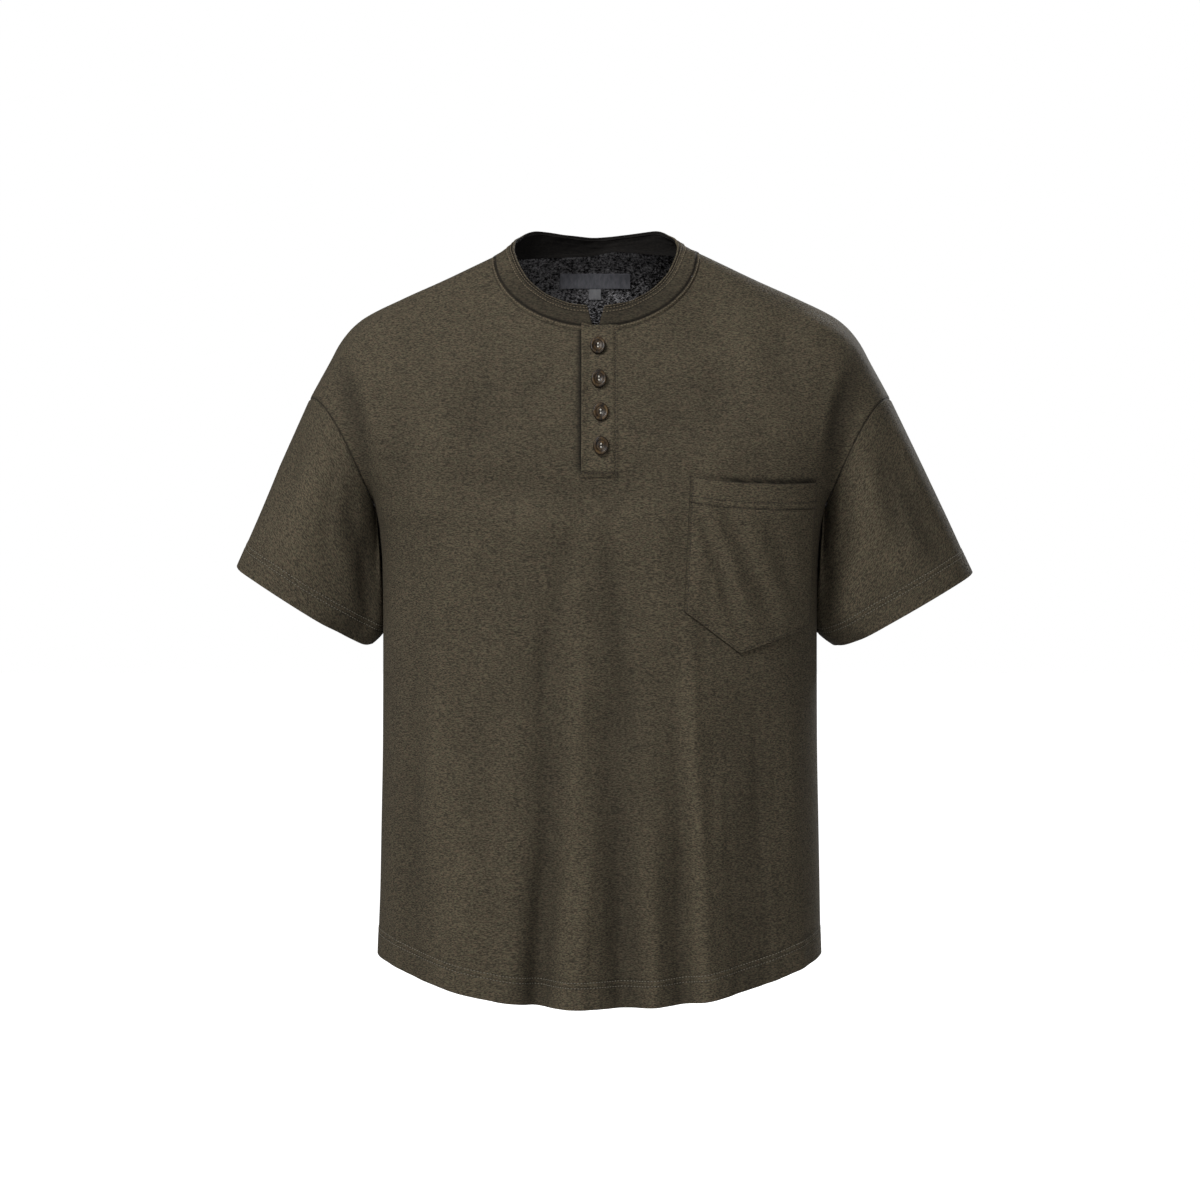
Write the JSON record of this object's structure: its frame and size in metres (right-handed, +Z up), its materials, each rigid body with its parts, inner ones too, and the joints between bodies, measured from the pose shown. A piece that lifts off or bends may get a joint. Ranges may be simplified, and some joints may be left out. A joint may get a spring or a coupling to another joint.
{
  "type": "henley shirt",
  "caption": "Short-sleeved shirt in its worn hollow form, with a low stand collar, a buttoned placket, a pointed chest pocket and a curved hem.",
  "frame": {"origin": "midway between the shoulders, level with the point where the shoulder seams meet the neck", "axes": "+Z up, the front faces -Y, +X towards the wearer's left"},
  "size_m": [0.7056, 0.2507, 0.7376],
  "materials": {
    "jersey": "heathered olive-brown jersey, matt, with a dark pile inside",
    "horn_button": "brown horn look, soft gloss",
    "label_tape": "woven tape, dull"
  },
  "bodies": {
    "root": {"front": "jersey", "back": "jersey", "sleeve_left": "jersey", "sleeve_right": "jersey", "collar": "jersey", "placket_top": "jersey", "placket_under": "jersey", "pocket": "jersey", "neck_label": "label_tape", "size_tab": "label_tape", "button_1": "horn_button", "button_2": "horn_button", "button_3": "horn_button", "button_4": "horn_button"}
  },
  "joints": []
}
